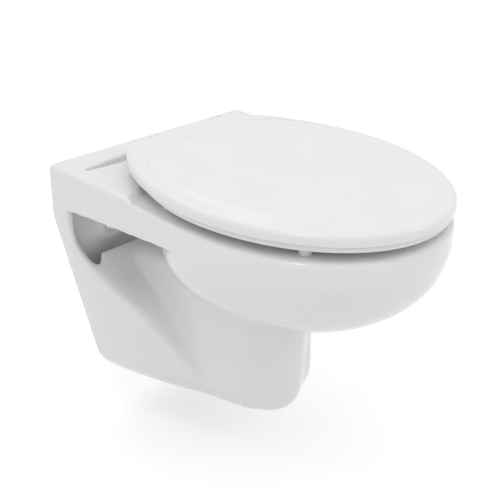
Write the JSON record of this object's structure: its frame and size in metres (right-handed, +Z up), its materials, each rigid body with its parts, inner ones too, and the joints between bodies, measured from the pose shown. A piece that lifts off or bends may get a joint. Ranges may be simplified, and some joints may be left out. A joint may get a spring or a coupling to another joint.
{
  "type": "wall hung toilet",
  "caption": "Wall hung toilet pan in glazed ceramic with a box rim, open side pockets and a hinged plastic seat ring and lid.",
  "frame": {"origin": "On the wall plane, midway between the two wall fixing holes; the hinge deck is 112 mm above it.", "axes": "+Z up, +Y into the wall (the pan stands out towards -Y), +X to the right as seen from the front."},
  "size_m": [0.36, 0.534, 0.4095],
  "materials": {
    "glazed_ceramic": "gloss white glaze",
    "seat_plastic": "polished white moulding",
    "hinge_plastic": "white moulding",
    "stainless_steel": "plain turned",
    "nylon": "natural nylon",
    "rubber": "matt black",
    "soft_buffer": "matt pale grey"
  },
  "bodies": {
    "pan": {"base_gasket_left": "rubber", "base_gasket_right": "rubber", "ceramic_pan": "glazed_ceramic", "cone_washer_left": "rubber", "cone_washer_right": "rubber", "flat_washer_left": "stainless_steel", "flat_washer_right": "stainless_steel", "hinge_bolt_left": "stainless_steel", "hinge_bolt_right": "stainless_steel", "hinge_pin_left": "stainless_steel", "hinge_pin_right": "stainless_steel", "hinge_post_left": "hinge_plastic", "hinge_post_right": "hinge_plastic", "wing_nut_left": "nylon", "wing_nut_right": "nylon"},
    "seat": {"seat_buffer_front_left": "soft_buffer", "seat_buffer_front_right": "soft_buffer", "seat_buffer_rear_left": "soft_buffer", "seat_buffer_rear_right": "soft_buffer", "seat_bush_left": "nylon", "seat_bush_right": "nylon", "seat_ring": "seat_plastic"},
    "lid": {"lid": "seat_plastic", "lid_buffer_front_left": "soft_buffer", "lid_buffer_front_right": "soft_buffer", "lid_buffer_rear_left": "soft_buffer", "lid_buffer_rear_right": "soft_buffer", "lid_bush_left": "nylon", "lid_bush_right": "nylon"}
  },
  "joints": [
    {"name": "seat_hinge", "type": "hinge", "parent": "pan", "child": "seat", "pos_m": [0, -0.074, 0.132], "axis": [-1, 0, 0], "range_deg": [0, 92]},
    {"name": "lid_hinge", "type": "hinge", "parent": "seat", "child": "lid", "pos_m": [0, -0.074, 0.132], "axis": [-1, 0, 0], "range_deg": [0, 92]}
  ]
}
